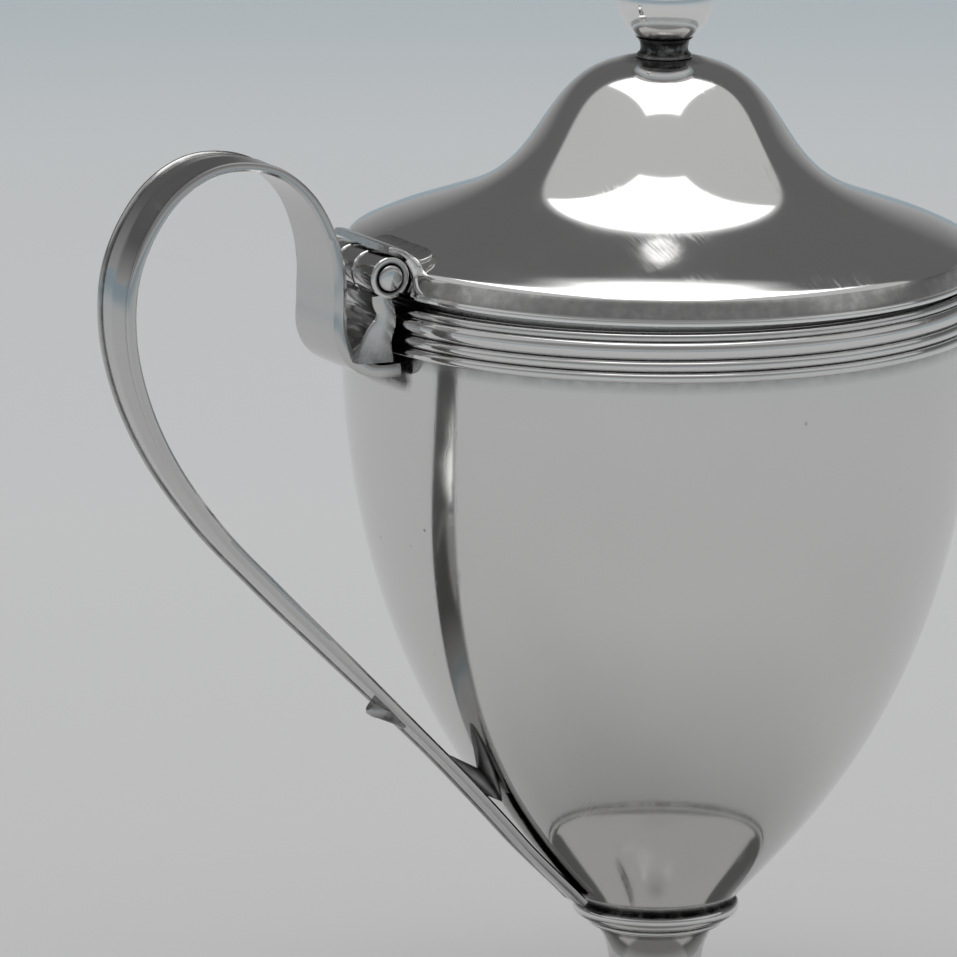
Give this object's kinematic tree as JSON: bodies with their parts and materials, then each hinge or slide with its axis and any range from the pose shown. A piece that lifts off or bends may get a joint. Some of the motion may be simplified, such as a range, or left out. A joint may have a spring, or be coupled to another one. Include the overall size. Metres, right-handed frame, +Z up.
{
  "type": "covered sugar bowl",
  "caption": "Urn-shaped covered bowl on a low spreading foot, with a reeded mouth, one strap handle and a domed lid that turns on a hinge beside the handle.",
  "frame": {"origin": "under the middle of the whole pot with its handle, on the surface that the foot stands on", "axes": "+Z up along the bowl's axis, -X towards the handle and the hinge, +Y across the handle"},
  "size_m": [0.0914, 0.064, 0.1154],
  "materials": {
    "polished_silver": "polished silver with fine scratches",
    "lid_silver": "polished silver with fine scratches",
    "reeded_silver": "polished silver, darker in the grooves",
    "handle_silver": "polished silver, a little worn",
    "hinge_silver": "worn silver with tarnish in the corners",
    "solder": "dull silver solder"
  },
  "bodies": {
    "vessel": {"bowl_body": "polished_silver", "reeded_band": "reeded_silver", "rim_wire": "reeded_silver", "foot_collar": "reeded_silver", "foot_stem": "polished_silver", "foot_rim_wire": "reeded_silver", "handle_strap": "handle_silver", "handle_web": "solder", "handle_spur": "handle_silver", "hinge_bracket": "hinge_silver", "hinge_tube_near": "hinge_silver", "hinge_tube_far": "hinge_silver", "hinge_pin": "hinge_silver"},
    "cover": {"lid_dome": "lid_silver", "lid_bezel": "hinge_silver", "hinge_leaf": "hinge_silver", "hinge_tube_middle": "hinge_silver", "finial_neck": "lid_silver", "finial_ball": "lid_silver", "finial_tip": "lid_silver", "finial_stud": "hinge_silver", "finial_nut": "hinge_silver"}
  },
  "joints": [
    {"name": "lid_hinge", "type": "hinge", "parent": "vessel", "child": "cover", "pos_m": [-0.019, 0, 0.08435], "axis": [0, -1, 0], "range_deg": [0, 105]}
  ]
}
